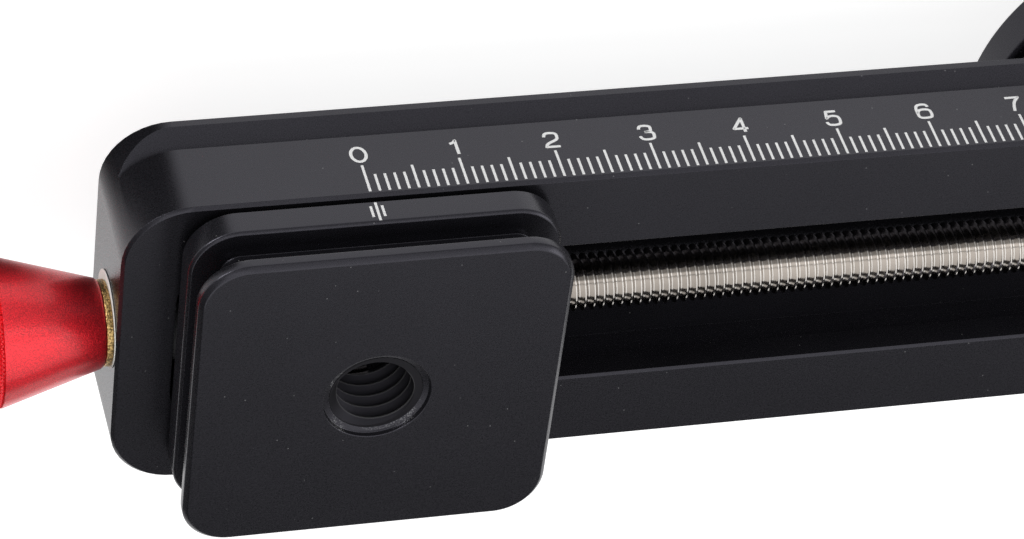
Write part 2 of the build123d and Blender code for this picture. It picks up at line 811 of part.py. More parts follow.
nodes = {
    "pan_base": pan_base,
    "pan_washer": pan_washer,
    "pan_screw": pan_screw,
    "pan_bushing": pan_bushing,
    "clamp_body": clamp_body,
    "movable_jaw": movable_jaw,
    "jaw_guide_pins": jaw_guide_pins,
    "jaw_springs": jaw_springs,
    "clamp_stud": clamp_stud,
    "clamp_washer": clamp_washer,
    "clamp_knob": clamp_knob,
    "clamp_knob_insert": clamp_knob_insert,
    "pan_lock_pad": pan_lock_pad,
    "pan_lock_knob": pan_lock_knob,
    "rail_body": rail_body,
    "end_block": end_block,
    "end_block_screws": end_block_screws,
    "stop_screws": stop_screws,
    "lead_screw": lead_screw,
    "thrust_collar": thrust_collar,
    "collar_set_screw": collar_set_screw,
    "front_bushing": front_bushing,
    "far_bushing": far_bushing,
    "retaining_ring": retaining_ring,
    "end_plug": end_plug,
    "white_washer": white_washer,
    "brass_washer": brass_washer,
    "focus_knob": focus_knob,
    "knob_screw": knob_screw,
    "knob_cap": knob_cap,
    "carriage_plate": carriage_plate,
    "slide_block": slide_block,
    "slide_liners": slide_liners,
    "drive_nut": drive_nut,
    "nut_screws": nut_screws,
    "carriage_screws": carriage_screws,
}

os.makedirs("parts", exist_ok=True)
for name, make in nodes.items():
    shape = make()
    if isinstance(shape, list):
        shape = Compound(children=shape)
    export_step(shape, f"parts/{name}.step")
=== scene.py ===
"""Looks of the macro focus rail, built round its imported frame."""
import json
import math

import bmesh
import bpy
from bpy.props import FloatProperty, FloatVectorProperty, IntProperty, PointerProperty
from mathutils import Matrix, Vector


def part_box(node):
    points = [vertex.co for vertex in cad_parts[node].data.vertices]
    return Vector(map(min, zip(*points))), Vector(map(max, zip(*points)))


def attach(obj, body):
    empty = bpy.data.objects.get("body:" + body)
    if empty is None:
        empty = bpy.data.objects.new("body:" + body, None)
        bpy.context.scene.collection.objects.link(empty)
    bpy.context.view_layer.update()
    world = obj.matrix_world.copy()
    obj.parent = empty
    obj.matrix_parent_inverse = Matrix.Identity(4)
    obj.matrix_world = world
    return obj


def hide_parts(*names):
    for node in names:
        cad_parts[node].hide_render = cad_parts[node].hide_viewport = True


bl_info = {
    "name": "Macro focus rail",
    "version": (1, 0, 0),
    "blender": (4, 5, 0),
    "location": "View3D > Sidebar > Focus rail",
    "description": "Threads, knurling, markings and finishes for a screw-driven focus rail",
    "category": "Object",
}

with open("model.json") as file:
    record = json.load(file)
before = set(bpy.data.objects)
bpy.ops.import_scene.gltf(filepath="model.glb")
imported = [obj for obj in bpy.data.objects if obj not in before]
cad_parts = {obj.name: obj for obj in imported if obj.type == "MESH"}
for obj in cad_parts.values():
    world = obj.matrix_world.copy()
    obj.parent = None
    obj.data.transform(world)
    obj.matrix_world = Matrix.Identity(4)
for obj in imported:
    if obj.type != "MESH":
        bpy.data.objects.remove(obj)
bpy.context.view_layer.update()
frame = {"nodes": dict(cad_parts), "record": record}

MM = 0.001
ALONG_RAIL = Vector((1, 0, 0))
RAIL_LOW, RAIL_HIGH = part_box("rail_body")
SCREW_LOW, SCREW_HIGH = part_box("lead_screw")
KNOB_LOW, KNOB_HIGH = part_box("focus_knob")
PLATE_LOW, PLATE_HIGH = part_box("carriage_plate")
BASE_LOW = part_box("pan_base")[0]
SCREW_AXIS = (KNOB_LOW.z + KNOB_HIGH.z) / 2
CARRIAGE_MIDDLE = (PLATE_LOW.x + PLATE_HIGH.x) / 2
SCALE_ZERO = CARRIAGE_MIDDLE + 0.1 * MM
THREAD_RADIUS = 4.7625 * MM
STEP_DEPTH = 0.56 * MM
STEP_FALL = 0.02 * MM
STEP_SCALE = 0.87
MOUTH_RADIUS = 5.2 * MM
COUNTERSINK_RADIUS = 5.6 * MM
TRIPOD_DEPTH = 6.4 * MM
SPECK_SCALE = 560.0
SPECK_CORE = 0.025
SPECK_EDGE = 0.05
SPECK_TONE = 0.13
FLOOR_SEEN = 0.8
FLOOR_MIRRORED = 0.68
FLOOR_TONE = 0.5
# Painted dark reflection: the floor's colour drop for glossy rays in a patch, and the patch's place and
# size.
PAINTED_REFLECTION_LOSS = -0.48
PAINTED_PATCH_PLACE = (0.1325, -0.03, 0)
PAINTED_PATCH_SIZE = (0.0215, 0.036, 1)
DIAMOND_LENGTH = 1.25
GLOSS_SPREAD = 0.05
CAMERA_LENS = 148.10
CAMERA_PLACE = Vector((187.562, -290.464, 332.067)) * MM
CAMERA_RIGHT = Vector((-0.96523823, -0.10747284, 0.23825355))
CAMERA_UP = Vector((-0.08192927, -0.74120017, -0.66626564))
CAMERA_BACK = Vector((0.24819903, -0.662625, 0.70662957))


class FocusRailMarkings(bpy.types.PropertyGroup):
    """The scale on the rail and the index on the carriage."""

    mark_width: FloatProperty(name="Mark width", description="Width of one line",
                              default=0.27 * MM, unit="LENGTH")
    mark_thickness: FloatProperty(name="Mark thickness", description="How far the paint stands proud",
                                  default=0.012 * MM, unit="LENGTH")
    scale_edge: FloatProperty(name="Edge distance", description="From the rail's top to the lines",
                              default=0.56 * MM, unit="LENGTH")
    long_mark: FloatProperty(name="Centimetre line", description="Length of each tenth line",
                             default=3.95 * MM, unit="LENGTH")
    middle_mark: FloatProperty(name="Half centimetre line", description="Length of each fifth line",
                               default=3.45 * MM, unit="LENGTH")
    short_mark: FloatProperty(name="Millimetre line", description="Length of the other lines",
                              default=2.5 * MM, unit="LENGTH")
    scale_length: IntProperty(name="Scale length", description="Millimetres on the scale",
                              default=200, min=10, max=200)
    number_height: FloatProperty(name="Number height", description="Height of the numbers",
                                 default=2.45 * MM, unit="LENGTH")
    number_gap: FloatProperty(name="Number gap", description="From the long line to its number",
                              default=0.42 * MM, unit="LENGTH")
    stroke_width: FloatProperty(name="Stroke width", description="Width of a number's strokes",
                                default=0.33 * MM, unit="LENGTH")
    index_spread: FloatProperty(name="Index spread", description="From the index to its side lines",
                                default=0.58 * MM, unit="LENGTH")


class FocusRailThreads(bpy.types.PropertyGroup):
    """Threads and knurling."""

    lead_pitch: FloatProperty(name="Lead screw pitch", description="Travel of the carriage in a turn",
                              default=1.0 * MM, unit="LENGTH")
    lead_depth: FloatProperty(name="Lead screw depth", description="Depth of the lead screw's thread",
                              default=0.58 * MM, unit="LENGTH")
    camera_pitch: FloatProperty(name="Camera thread pitch", description="Sixteenth of an inch",
                                default=1.5875 * MM, unit="LENGTH")
    camera_depth: FloatProperty(name="Camera thread depth", description="Depth of the camera thread",
                                default=0.85 * MM, unit="LENGTH")
    knurl_columns: IntProperty(name="Knurl columns", description="Diamonds round the focus knob",
                               default=96, min=24, max=160)
    knurl_depth: FloatProperty(name="Knurl depth", description="Height of a diamond",
                               default=0.24 * MM, unit="LENGTH")
    knurl_start: FloatProperty(name="Knurl start", description="From the knob's tip to the knurling",
                               default=10.7 * MM, unit="LENGTH")


class FocusRailFinishes(bpy.types.PropertyGroup):
    """Colours of the finishes."""

    anodised_black: FloatVectorProperty(name="Black anodising", description="Dyed oxide on the rail",
                                        default=(0.0068, 0.0066, 0.0082), subtype="COLOR")
    anodised_red: FloatVectorProperty(name="Red anodising", description="Dyed oxide on the focus knob",
                                      default=(0.78, 0.02, 0.032), subtype="COLOR")
    stainless: FloatVectorProperty(name="Stainless steel", description="Screws, pins and springs",
                                   default=(0.55, 0.52, 0.49), subtype="COLOR")
    black_oxide: FloatVectorProperty(name="Black oxide", description="Blackened screws",
                                     default=(0.035, 0.035, 0.038), subtype="COLOR")
    brass: FloatVectorProperty(name="Brass", description="Nut, bushing and washer",
                               default=(0.43, 0.285, 0.115), subtype="COLOR")
    white_plastic: FloatVectorProperty(name="White plastic", description="Washer and liners",
                                       default=(0.34, 0.335, 0.365), subtype="COLOR")
    black_plastic: FloatVectorProperty(name="Black plastic", description="Bearings and end plug",
                                       default=(0.02, 0.02, 0.022), subtype="COLOR")
    marking: FloatVectorProperty(name="Marking paint", description="Scale, numbers and index",
                                 default=(0.82, 0.82, 0.82), subtype="COLOR")


class FocusRailStudio(bpy.types.PropertyGroup):
    """The floor, the lamps and the camera."""

    floor_size: FloatProperty(name="Floor size", description="Side of the square floor",
                              default=6.0, unit="LENGTH")
    front_level: FloatProperty(name="Front level", description="World on the scale's side", default=0.5)
    back_level: FloatProperty(name="Back level", description="World on the far side", default=0.04)
    side_power: FloatProperty(name="Side lamp", description="Power of the lamp beside the scale",
                              default=5.0)
    top_power: FloatProperty(name="Top lamps", description="Power of the lamps above, for a metre's width",
                             default=5.0)
    far_power: FloatProperty(name="Far lamp", description="Power of the lamp past the rail's far end",
                             default=0.6)
    back_power: FloatProperty(name="Back lamp", description="Power of the low lamp behind the rail",
                              default=1.1)


def settings(group):
    """One group of settings: markings, threads, finishes or studio."""
    return getattr(bpy.context.scene, "focus_rail_" + group)


def link(tree, source, output, target, slot_name):
    """Links two nodes by the names of their sockets."""
    tree.links.new(source.outputs[output], target.inputs[slot_name])


def new_material(name):
    """An empty node material with its shader and output."""
    material = bpy.data.materials.get(name)
    if material:
        return material, None, None
    material = bpy.data.materials.new(name)
    material.use_nodes = True
    tree = material.node_tree
    tree.nodes.clear()
    shader = tree.nodes.new("ShaderNodeBsdfPrincipled")
    output = tree.nodes.new("ShaderNodeOutputMaterial")
    link(tree, shader, "BSDF", output, "Surface")
    return material, tree, shader


def noise(tree, scale, detail, rough=0.5):
    """The value of a noise on Object coordinates."""
    coordinates = tree.nodes.new("ShaderNodeTexCoord")
    texture = tree.nodes.new("ShaderNodeTexNoise")
    texture.inputs["Scale"].default_value = scale
    texture.inputs["Detail"].default_value = detail
    texture.inputs["Roughness"].default_value = rough
    link(tree, coordinates, "Object", texture, "Vector")
    return texture.outputs["Fac"]


def tinted(tree, value, dark, light):
    """A colour that drifts between two tones with a value."""
    ramp = tree.nodes.new("ShaderNodeValToRGB")
    for stop, position, tone in zip(ramp.color_ramp.elements, (0.35, 0.65), (dark, light)):
        stop.position = position
        stop.color = (*tone, 1)
    tree.links.new(value, ramp.inputs["Fac"])
    return ramp.outputs["Color"]


def grain_bump(tree, shader, height, strength, distance):
    """Fine relief from a value."""
    bump = tree.nodes.new("ShaderNodeBump")
    bump.inputs["Strength"].default_value = strength
    bump.inputs["Distance"].default_value = distance
    tree.links.new(height, bump.inputs["Height"])
    link(tree, bump, "Normal", shader, "Normal")


def maths(tree, operation, *values):
    """The output of a Math node fed with sockets and numbers."""
    node = tree.nodes.new("ShaderNodeMath")
    node.operation = operation
    for place, value in zip(node.inputs, values):
        if isinstance(value, float):
            place.default_value = value
        else:
            tree.links.new(value, place)
    return node.outputs[0]


def lightened(tree, tone, amount):
    """A tone with a grey amount added to it."""
    added = tree.nodes.new("ShaderNodeVectorMath")
    tree.links.new(tone, added.inputs[0])
    tree.links.new(amount, added.inputs[1])
    return added.outputs["Vector"]


def ranged(tree, value, start, end, low, high):
    """A value carried from one range to another."""
    node = tree.nodes.new("ShaderNodeMapRange")
    for name, number in (("From Min", start), ("From Max", end), ("To Min", low), ("To Max", high)):
        node.inputs[name].default_value = number
    tree.links.new(value, node.inputs["Value"])
    return node.outputs["Result"]


def dusted(tree, tone):
    """A tone with sparse pale specks, under a fifth of a millimetre wide."""
    coordinates = tree.nodes.new("ShaderNodeTexCoord")
    cells = tree.nodes.new("ShaderNodeTexVoronoi")
    cells.inputs["Scale"].default_value = SPECK_SCALE
    link(tree, coordinates, "Object", cells, "Vector")
    specks = ranged(tree, cells.outputs["Distance"], SPECK_CORE, SPECK_EDGE, SPECK_TONE, 0.0)
    return lightened(tree, tone, specks)


def distance_from(tree, x):
    """The distance from an upright axis that crosses the X axis."""
    coordinates = tree.nodes.new("ShaderNodeTexCoord")
    mapping = tree.nodes.new("ShaderNodeMapping")
    mapping.inputs["Location"].default_value = (-x, 0, 0)
    mapping.inputs["Scale"].default_value = (1, 1, 0)
    link(tree, coordinates, "Object", mapping, "Vector")
    length = tree.nodes.new("ShaderNodeVectorMath")
    length.operation = "LENGTH"
    link(tree, mapping, "Vector", length, 0)
    return length.outputs["Value"]


def worn_mouth(tree, tone, x, radius):
    """A tone scuffed to bare metal in spots round the mouth of an upright hole."""
    band = maths(tree, "COMPARE", distance_from(tree, x), radius, 0.35 * MM)
    places = ranged(tree, noise(tree, 300.0, 1.0), 0.6, 0.66, 0.0, 1.0)
    scratches = ranged(tree, noise(tree, 5500.0, 3.0), 0.52, 0.6, 0.0, 0.12)
    worn = maths(tree, "MULTIPLY", maths(tree, "MULTIPLY", scratches, band), places)
    return lightened(tree, tone, worn)


def shade(colour, factor):
    """A lighter or darker tone of a colour."""
    return tuple(min(1.0, channel * factor) for channel in colour)


def surface(name, colour, metallic, rough, grain, relief, drift, strength=0.5, coat=0.0,
            level=0.5, tint=(1, 1, 1), dust=False, mouth=None, blotch=90.0):
    """A finish: a drifting tone, uneven gloss, a fine grain, and dust and wear if asked."""
    material, tree, shader = new_material(name)
    if tree is None:
        return material
    shader.inputs["Metallic"].default_value = metallic
    shader.inputs["Specular IOR Level"].default_value = level
    shader.inputs["Specular Tint"].default_value = (*tint, 1)
    shader.inputs["Coat Weight"].default_value = coat
    shader.inputs["Coat Roughness"].default_value = 0.25
    broad = noise(tree, blotch, 3.0)
    tone = tinted(tree, broad, shade(colour, 1 - drift), shade(colour, 1 + drift))
    if dust:
        tone = dusted(tree, tone)
    if mouth:
        tone = worn_mouth(tree, tone, *mouth)
    tree.links.new(tone, shader.inputs["Base Color"])
    fine = noise(tree, grain, 2.0, 0.6)
    gloss = ranged(tree, fine, 0.3, 0.7, rough - GLOSS_SPREAD, rough + GLOSS_SPREAD)
    tree.links.new(gloss, shader.inputs["Roughness"])
    grain_bump(tree, shader, fine, strength, relief)
    return material


def black_anodised(name, mouth):
    """The black finish, with wear round the mouth of a hole if there is one."""
    return surface(name, settings("finishes").anodised_black, metallic=0.0, rough=0.28,
                   grain=5200.0, relief=0.00001, drift=0.1, strength=0.3, tint=(0.87, 0.85, 1.0),
                   dust=True, mouth=mouth)


def black_thread(name, x, crest):
    """Dull black thread flanks with crests worn to a thin grey line."""
    material, tree, shader = new_material(name)
    if tree is None:
        return material
    shader.inputs["Roughness"].default_value = 0.5
    shader.inputs["Specular IOR Level"].default_value = 0.25
    shader.inputs["Specular Tint"].default_value = (0.85, 0.82, 1.0, 1)
    worn = ranged(tree, distance_from(tree, x), crest, crest + 0.08 * MM, 0.05, 0.003)
    tree.links.new(worn, shader.inputs["Base Color"])
    return material


def finish_for(slot):
    """The material of a slot of the record."""
    finishes = settings("finishes")
    if slot == "black_aluminium":
        return black_anodised("black_anodised", None)
    if slot == "red_aluminium":
        return surface("red_anodised", finishes.anodised_red, metallic=1.0, rough=0.4,
                       grain=7000.0, relief=0.00006, drift=0.3, strength=1.0, coat=0.75,
                       blotch=7500.0)
    if slot == "steel":
        return surface("stainless", finishes.stainless, metallic=1.0, rough=0.13,
                       grain=2600.0, relief=0.000006, drift=0.08, strength=0.4)
    if slot == "black_steel":
        return surface("black_oxide", finishes.black_oxide, metallic=0.6, rough=0.4,
                       grain=3000.0, relief=0.000008, drift=0.15)
    if slot == "brass":
        return surface("turned_brass", finishes.brass, metallic=1.0, rough=0.3,
                       grain=4500.0, relief=0.0001, drift=0.7, strength=1.0, blotch=5200.0)
    if slot == "white_plastic":
        return surface("white_plastic", finishes.white_plastic, metallic=0.0, rough=0.45,
                       grain=1500.0, relief=0.000006, drift=0.04, level=0.12)
    if slot == "marking":
        return surface("marking_paint", finishes.marking, metallic=0.0, rough=0.55,
                       grain=9000.0, relief=0.000004, drift=0.05)
    return surface("black_plastic", finishes.black_plastic, metallic=0.0, rough=0.45,
                   grain=1800.0, relief=0.00001, drift=0.15)


def set_material(piece, material):
    """Gives a piece one material."""
    if piece.material_slots:
        for place in piece.material_slots:
            place.material = material
    else:
        piece.data.materials.append(material)


def make_piece(shape, name, body, slot, replaced=(), smooth=35.0, material=None):
    """Turns a bmesh into a piece that rides on a body and wears a slot's finish."""
    mesh = bpy.data.meshes.new(name)
    shape.to_mesh(mesh)
    shape.free()
    piece = bpy.data.objects.new(name, mesh)
    bpy.context.scene.collection.objects.link(piece)
    mesh.shade_smooth()
    mesh.set_sharp_from_angle(angle=math.radians(smooth))
    set_material(piece, material or finish_for(slot))
    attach(piece, body)
    if replaced:
        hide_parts(*replaced)
    return piece


def close_up(shape):
    """Merges doubles and turns the faces outwards."""
    bmesh.ops.remove_doubles(shape, verts=shape.verts, dist=1e-7)
    bmesh.ops.recalc_face_normals(shape, faces=shape.faces)


def turned_along_x(shape, profile, steps):
    """Turns an open chain of (x, radius) points a full round about the screw's axis."""
    verts = [shape.verts.new((x, 0, SCREW_AXIS + radius)) for x, radius in profile]
    edges = [shape.edges.new(pair) for pair in zip(verts, verts[1:])]
    bmesh.ops.spin(shape, geom=verts + edges, cent=(0, 0, SCREW_AXIS), axis=ALONG_RAIL,
                   dvec=(0, 0, 0), angle=2 * math.pi, steps=steps, use_merge=True,
                   use_duplicate=False)


def helical_ridge(section, axis, centre, pitch, turns, steps_per_turn):
    """A closed section wound round an axis for whole turns, with its ends closed."""
    shape = bmesh.new()
    verts = [shape.verts.new(point) for point in section]
    edges = [shape.edges.new((verts[i], verts[(i + 1) % len(verts)])) for i in range(len(verts))]
    advance = Vector(axis) * pitch / steps_per_turn
    bmesh.ops.spin(shape, geom=verts + edges, cent=centre, axis=axis, dvec=advance,
                   angle=2 * math.pi, steps=steps_per_turn, use_merge=False, use_duplicate=False)
    one_turn = shape.verts[:] + shape.edges[:] + shape.faces[:]
    for index in range(1, turns):
        copied = bmesh.ops.duplicate(shape, geom=one_turn)["geom"]
        moved = [item for item in copied if isinstance(item, bmesh.types.BMVert)]
        bmesh.ops.translate(shape, verts=moved, vec=Vector(axis) * pitch * index)
    bmesh.ops.remove_doubles(shape, verts=shape.verts, dist=2e-6)
    ends = [edge for edge in shape.edges if edge.is_boundary]
    bmesh.ops.holes_fill(shape, edges=ends, sides=len(section))
    bmesh.ops.recalc_face_normals(shape, faces=shape.faces)
    return shape


def absorb(shape, other):
    """Adds another bmesh to a shape."""
    mesh = bpy.data.meshes.new("absorbed")
    other.to_mesh(mesh)
    other.free()
    shape.from_mesh(mesh)
    bpy.data.meshes.remove(mesh)


def clean_copy(node):
    """A copy of a CAD node's mesh with whole flat faces, as a bmesh."""
    shape = bmesh.new()
    shape.from_mesh(frame["nodes"][node].data)
    bmesh.ops.remove_doubles(shape, verts=shape.verts, dist=2e-7)
    bmesh.ops.dissolve_limit(shape, angle_limit=math.radians(0.6), use_dissolve_boundaries=False,
                             verts=shape.verts, edges=shape.edges, delimit=set())
    return shape


def softened(node, name, body, slot, width, shape=None, material=None):
    """A CAD node's shape with its sharp edges broken."""
    piece = make_piece(shape or clean_copy(node), name, body, slot, (node,), smooth=180.0,
                       material=material)
    bevel = piece.modifiers.new("broken_edges", "BEVEL")
    bevel.width = width
    bevel.segments = 2
    bevel.profile = 0.5
    bevel.limit_method = "ANGLE"
    bevel.angle_limit = math.radians(32.0)
    bevel.miter_outer = "MITER_ARC"
    weighted = piece.modifiers.new("flat_faces", "WEIGHTED_NORMAL")
    weighted.mode = "FACE_AREA"
    weighted.weight = 100


def add_bar(shape, x, y, z):
    """A thin box between two values on each axis."""
    low = Vector((min(x), min(y), min(z)))
    high = Vector((max(x), max(y), max(z)))
    place = Matrix.Translation((low + high) / 2) @ Matrix.Diagonal((*(high - low), 1))
    bmesh.ops.create_cube(shape, size=1.0, matrix=place)


class FOCUSRAIL_OT_stage(bpy.types.Operator):
    """Makes the floor, the lamps, the world and the camera"""

    bl_idname = "focus_rail.stage"
    bl_label = "Stage"

    def execute(self, context):
        studio = settings("studio")
        self.floor(studio)
        self.world(studio)
        self.lamp("side_lamp", place=(0.85, -0.75, 0.09), target=(0.05, 0, 0.03),
                  sides=(0.5, 0.26), power=studio.side_power)
        for name, near, far in (("top_lamp", -0.202, 0.315), ("front_lamp", -0.42, -0.242)):
            middle = (near + far) / 2
            width = abs(far - near)
            self.lamp(name, place=(-0.2, middle, 0.42), target=(-0.2, middle, 0.0),
                      sides=(1.3, width), power=studio.top_power * width)
        self.lamp("far_lamp", place=(-0.5, -0.12, 0.4), target=(0.13, 0, 0.03),
                  sides=(0.3, 0.3), power=studio.far_power)
        self.lamp("back_lamp", place=(-0.3, 0.75, 0.27), target=(-0.3, 0, 0.27),
                  sides=(1.2, 0.3), power=studio.back_power)
        self.camera()
        return {"FINISHED"}

    def floor(self, studio):
        """A pale floor that the camera sees as white and the part mirrors a little darker, with a painted
        dark reflection: a soft patch under the rail's corner that the part mirrors darker still.
        """
        shape = bmesh.new()
        bmesh.ops.create_grid(shape, x_segments=1, y_segments=1, size=studio.floor_size / 2)
        mesh = bpy.data.meshes.new("floor")
        shape.to_mesh(mesh)
        shape.free()
        piece = bpy.data.objects.new("floor", mesh)
        bpy.context.scene.collection.objects.link(piece)
        material = bpy.data.materials.new("pale_floor")
        material.use_nodes = True
        tree = material.node_tree
        shader = tree.nodes["Principled BSDF"]
        shader.inputs["Roughness"].default_value = 0.9
        shader.inputs["Specular IOR Level"].default_value = 0.0
        shader.inputs["Emission Color"].default_value = (1, 1, 1, 1)
        rays = tree.nodes.new("ShaderNodeLightPath")
        direct = maths(tree, "MULTIPLY", rays.outputs["Is Camera Ray"], FLOOR_SEEN)
        # Painted dark reflection: a patch of the floor that only glossy rays see dimmer.
        outside_painted_patch = self.dim_patch(tree)
        glossy_outside_patch = maths(tree, "MULTIPLY", rays.outputs["Is Glossy Ray"], outside_painted_patch)
        emitted = maths(tree, "MULTIPLY_ADD", glossy_outside_patch, FLOOR_MIRRORED, direct)
        tree.links.new(emitted, shader.inputs["Emission Strength"])
        # Inside the patch the floor's colour also drops for glossy rays, which deepens the painted dark
        # reflection.
        glossy_in_painted_patch = maths(tree, "SUBTRACT", rays.outputs["Is Glossy Ray"], glossy_outside_patch)
        tone = maths(tree, "MULTIPLY_ADD", glossy_in_painted_patch, PAINTED_REFLECTION_LOSS, FLOOR_TONE)
        tree.links.new(tone, shader.inputs["Base Color"])
        mesh.materials.append(material)

    def dim_patch(self, tree):
        """The floor's level in reflections, low in a soft patch under the rail's corner, which paints a
        dark reflection into the rail's faces.
        """
        coordinates = tree.nodes.new("ShaderNodeTexCoord")
        mapping = tree.nodes.new("ShaderNodeMapping")
        mapping.vector_type = "TEXTURE"
        mapping.inputs["Location"].default_value = PAINTED_PATCH_PLACE
        mapping.inputs["Scale"].default_value = PAINTED_PATCH_SIZE
        patch = tree.nodes.new("ShaderNodeTexGradient")
        patch.gradient_type = "SPHERICAL"
        link(tree, coordinates, "Object", mapping, "Vector")
        link(tree, mapping, "Vector", patch, "Vector")
        return ranged(tree, patch.outputs["Fac"], 0.0, 0.35, 1.0, 0.0)

    def world(self, studio):
        """White for the camera, and grey for the part, darker on the far side."""
        world = bpy.data.worlds.new("studio")
        bpy.context.scene.world = world
        world.use_nodes = True
        tree = world.node_tree
        background = tree.nodes["Background"]
        background.inputs["Color"].default_value = (1, 1, 1, 1)
        coordinates = tree.nodes.new("ShaderNodeTexCoord")
        parts = tree.nodes.new("ShaderNodeSeparateXYZ")
        link(tree, coordinates, "Generated", parts, "Vector")
        side = ranged(tree, parts.outputs["Y"], -0.6, 0.5, studio.front_level, studio.back_level)
        rays = tree.nodes.new("ShaderNodeLightPath")
        level = tree.nodes.new("ShaderNodeMapRange")
        level.inputs["To Max"].default_value = 1.0
        link(tree, rays, "Is Camera Ray", level, "Value")
        tree.links.new(side, level.inputs["To Min"])
        link(tree, level, "Result", background, "Strength")

    def lamp(self, name, place, target, sides, power):
        """A rectangular lamp turned towards a point."""
        data = bpy.data.lights.new(name, "AREA")
        data.shape = "RECTANGLE"
        data.size, data.size_y = sides
        data.energy = power
        lamp = bpy.data.objects.new(name, data)
        bpy.context.scene.collection.objects.link(lamp)
        lamp.location = place
        aim = Vector(target) - Vector(place)
        lamp.rotation_euler = aim.to_track_quat("-Z", "Y").to_euler()

    def camera(self):
        """The camera fitted to the scale's marks in the photograph."""
        data = bpy.data.cameras.new("camera")
        data.lens = CAMERA_LENS
        data.sensor_width = 36.0
        data.sensor_fit = "HORIZONTAL"
        data.clip_start = 0.05
        data.clip_end = 20.0
        camera = bpy.data.objects.new("camera", data)
        bpy.context.scene.collection.objects.link(camera)
        turned = Matrix((CAMERA_RIGHT, CAMERA_UP, CAMERA_BACK)).transposed().to_4x4()
        camera.matrix_world = Matrix.Translation(CAMERA_PLACE) @ turned
        bpy.context.scene.camera = camera


def oval(middle_x, middle_y, half_width, half_height):
    """The eight guide points of a closed oval, the first repeated at the end."""
    points = []
    for step in range(9):
        angle = math.pi * (step + 0.5) / 4
        reach = 1 / math.cos(math.pi / 8)
        points.append((middle_x + half_width * reach * math.cos(angle),
                       middle_y + half_height * reach * math.sin(angle)))
    return points


SIX = [(0.57, 0.8), (0.54, 0.94), (0.44, 1.0), (0.28, 1.0), (0.1, 0.94), (0.02, 0.7), (0.02, 0.4),
       (0.02, 0.08), (0.18, 0.0), (0.42, 0.0), (0.6, 0.06), (0.62, 0.32), (0.6, 0.56), (0.44, 0.63),
       (0.24, 0.63), (0.08, 0.56), (0.03, 0.36)]
DIGIT_STROKES = {
    "0": [oval(0.32, 0.5, 0.31, 0.5)],
    "1": [[(0.12, 0.77), (0.3, 0.83), (0.38, 1.0), (0.38, 1.0), (0.38, 0.0)]],
    "2": [[(0.05, 0.72), (0.08, 0.92), (0.2, 1.0), (0.44, 1.0), (0.6, 0.92), (0.6, 0.7), (0.58, 0.5),
           (0.1, 0.24), (0.03, 0.0), (0.03, 0.0), (0.62, 0.0)]],
    "3": [[(0.06, 0.76), (0.09, 0.93), (0.2, 1.0), (0.42, 1.0), (0.57, 0.93), (0.57, 0.76),
           (0.54, 0.55), (0.26, 0.54)],
          [(0.26, 0.54), (0.5, 0.54), (0.63, 0.46), (0.63, 0.24), (0.59, 0.06), (0.42, 0.0),
           (0.22, 0.0), (0.06, 0.06), (0.02, 0.26)]],
    "4": [[(0.64, 0.26), (0.02, 0.26), (0.02, 0.26), (0.47, 1.0), (0.47, 1.0), (0.47, 0.0)]],
    "5": [[(0.57, 1.0), (0.15, 1.0), (0.15, 1.0), (0.08, 0.5), (0.08, 0.5), (0.18, 0.64), (0.4, 0.68),
           (0.61, 0.6), (0.63, 0.34), (0.6, 0.07), (0.42, 0.0), (0.22, 0.0), (0.06, 0.05), (0.02, 0.24)]],
    "6": [SIX],
    "7": [[(0.02, 1.0), (0.62, 1.0), (0.62, 1.0), (0.3, 0.6), (0.22, 0.0)]],
    "8": [oval(0.32, 0.77, 0.25, 0.23), oval(0.32, 0.27, 0.31, 0.27)],
    "9": [[(0.64 - x, 1 - y) for x, y in SIX]],
}


def painted_number(text, marks):
    """The flat rounded strokes of a number, centred, standing on its own base line."""
    height = marks.number_height
    advance = 0.9
    digit_width = 0.64
    curve = bpy.data.curves.new("number", "CURVE")
    curve.dimensions = "3D"
    curve.bevel_depth = marks.stroke_width / height / 2
    curve.bevel_resolution = 1
    curve.use_fill_caps = True
    start = -(advance * (len(text) - 1) + digit_width) / 2
    inset = curve.bevel_depth
    for index, digit in enumerate(text):
        for points in DIGIT_STROKES[digit]:
            closed = math.dist(points[0], points[-1]) < 1e-6
            if closed:
                points = points[:-1]
            spline = curve.splines.new("NURBS")
            spline.points.add(len(points) - 1)
            spline.order_u = 3
            spline.use_cyclic_u = closed
            spline.use_endpoint_u = not closed
            spline.resolution_u = 6
            for point, (x, y) in zip(spline.points, points):
                point.co = (start + index * advance + x, inset + y * (1 - 2 * inset), 0, 1)
    holder = bpy.data.objects.new("number", curve)
    bpy.context.scene.collection.objects.link(holder)
    bpy.context.view_layer.update()
    mesh = bpy.data.meshes.new_from_object(holder)
    bpy.data.objects.remove(holder)
    flat = marks.mark_thickness / curve.bevel_depth
    mesh.transform(Matrix.Diagonal((height, height, flat, 1)))
    return mesh


